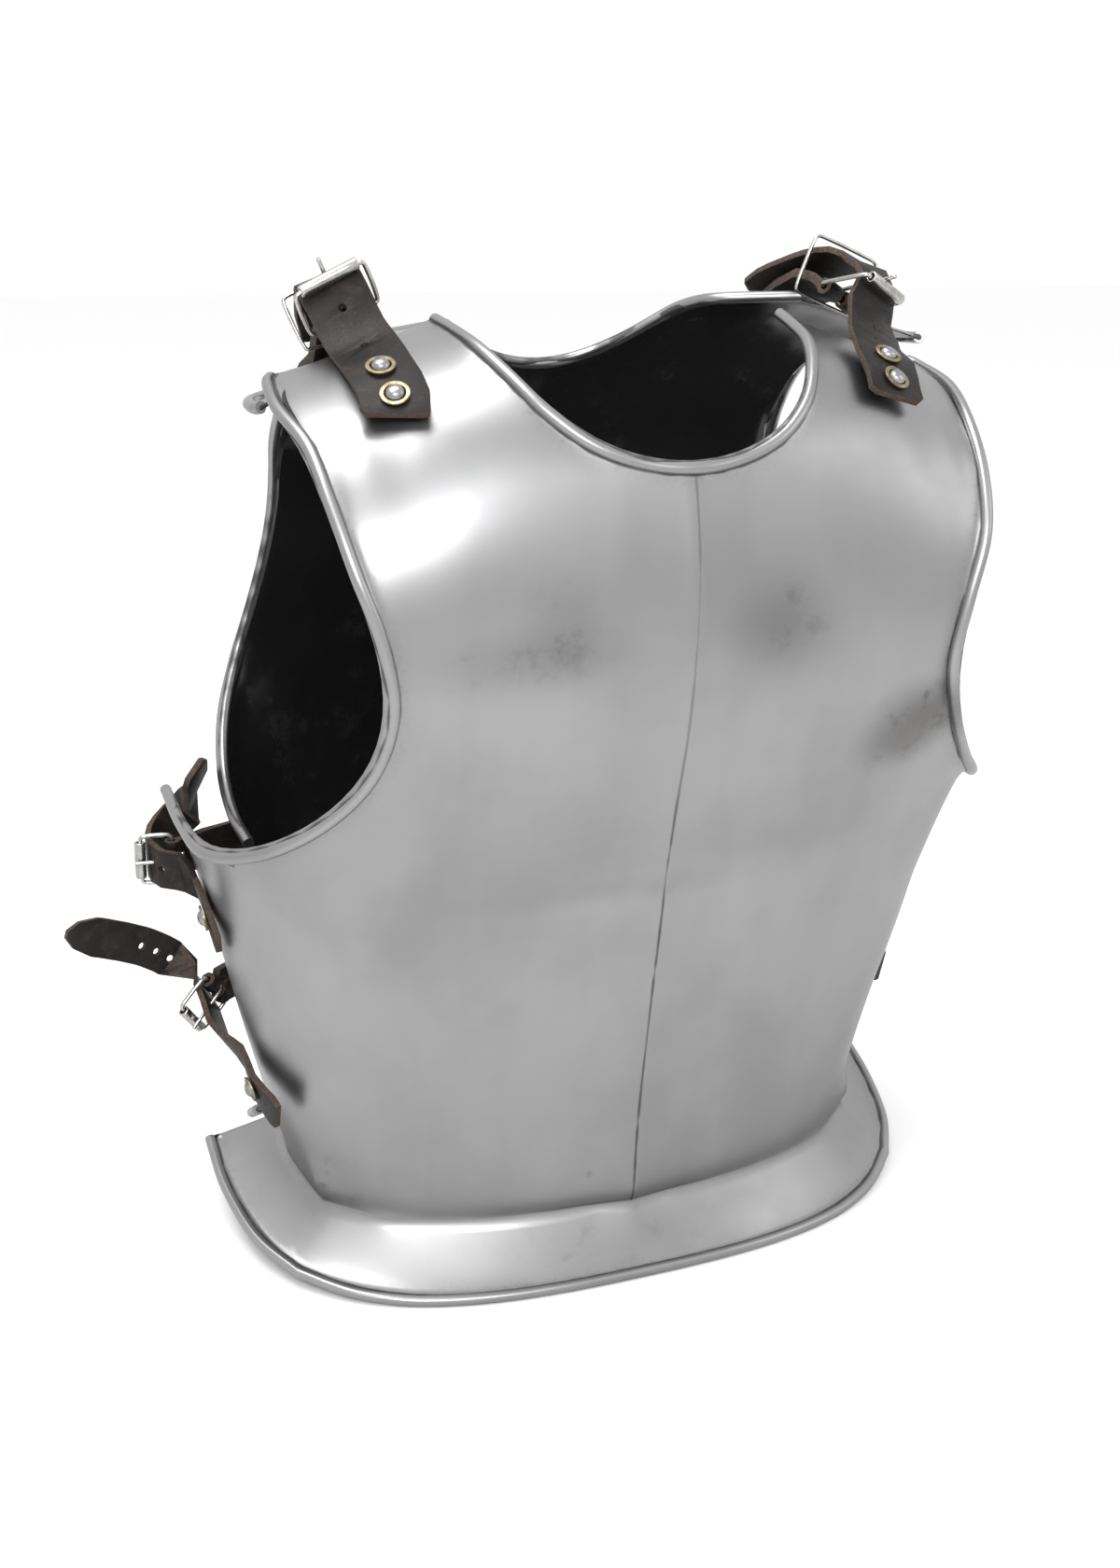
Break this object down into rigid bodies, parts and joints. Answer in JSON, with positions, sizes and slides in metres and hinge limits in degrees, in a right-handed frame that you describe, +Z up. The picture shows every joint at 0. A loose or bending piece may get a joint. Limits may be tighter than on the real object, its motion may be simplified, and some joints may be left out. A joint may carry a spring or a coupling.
{
  "type": "steel cuirass",
  "caption": "Steel cuirass with a ridged breastplate, a backplate with a black lining, flared waist flanges and leather straps with roller buckles.",
  "frame": {"origin": "centre of the bounding box in plan, at the level of the flange rims it stands on", "axes": "+Z up, -Y the way the breast faces, +X the wearer's left"},
  "size_m": [0.4704, 0.2792, 0.5016],
  "materials": {
    "breast_steel": "satin polished steel with fine grain, light tarnish and a dark line inside the rolled edges",
    "back_steel": "satin polished steel outside, glossy black lacquer inside",
    "strap_leather": "dark brown, nearly black, with lighter cut edges",
    "buckle_nickel": "bright nickel plate, lightly worn",
    "rivet_steel": "polished domes",
    "washer_brass": "dull brass"
  },
  "bodies": {
    "root": {"backplate": "back_steel", "breastplate": "breast_steel", "left_shoulder_billet": "strap_leather", "left_shoulder_billet_lower_rivet": "rivet_steel", "left_shoulder_billet_lower_washer": "washer_brass", "left_shoulder_billet_upper_rivet": "rivet_steel", "left_shoulder_billet_upper_washer": "washer_brass", "left_shoulder_buckle_frame": "buckle_nickel", "left_shoulder_buckle_prong": "buckle_nickel", "left_shoulder_buckle_roller": "buckle_nickel", "left_shoulder_buckle_strap": "strap_leather", "left_shoulder_buckle_strap_rear_rivet": "rivet_steel", "left_shoulder_keeper": "buckle_nickel", "lower_left_side_billet": "strap_leather", "lower_left_side_billet_front_rivet": "rivet_steel", "lower_left_side_buckle_frame": "buckle_nickel", "lower_left_side_buckle_prong": "buckle_nickel", "lower_left_side_buckle_roller": "buckle_nickel", "lower_left_side_buckle_strap": "strap_leather", "lower_left_side_buckle_strap_rear_rivet": "rivet_steel", "lower_right_side_billet": "strap_leather", "lower_right_side_billet_front_rivet": "rivet_steel", "lower_right_side_billet_front_washer": "washer_brass", "lower_right_side_buckle_frame": "buckle_nickel", "lower_right_side_buckle_prong": "buckle_nickel", "lower_right_side_buckle_roller": "buckle_nickel", "lower_right_side_buckle_strap": "strap_leather", "lower_right_side_buckle_strap_rear_rivet": "rivet_steel", "right_shoulder_billet": "strap_leather", "right_shoulder_billet_lower_rivet": "rivet_steel", "right_shoulder_billet_lower_washer": "washer_brass", "right_shoulder_billet_upper_rivet": "rivet_steel", "right_shoulder_billet_upper_washer": "washer_brass", "right_shoulder_buckle_frame": "buckle_nickel", "right_shoulder_buckle_prong": "buckle_nickel", "right_shoulder_buckle_roller": "buckle_nickel", "right_shoulder_buckle_strap": "strap_leather", "right_shoulder_buckle_strap_rear_rivet": "rivet_steel", "right_shoulder_keeper": "buckle_nickel", "upper_left_side_billet": "strap_leather", "upper_left_side_billet_front_rivet": "rivet_steel", "upper_left_side_buckle_frame": "buckle_nickel", "upper_left_side_buckle_prong": "buckle_nickel", "upper_left_side_buckle_roller": "buckle_nickel", "upper_left_side_buckle_strap": "strap_leather", "upper_left_side_buckle_strap_rear_rivet": "rivet_steel", "upper_right_side_billet": "strap_leather", "upper_right_side_billet_front_rivet": "rivet_steel", "upper_right_side_billet_front_washer": "washer_brass", "upper_right_side_buckle_frame": "buckle_nickel", "upper_right_side_buckle_prong": "buckle_nickel", "upper_right_side_buckle_roller": "buckle_nickel", "upper_right_side_buckle_strap": "strap_leather", "upper_right_side_buckle_strap_rear_rivet": "rivet_steel"}
  },
  "joints": []
}
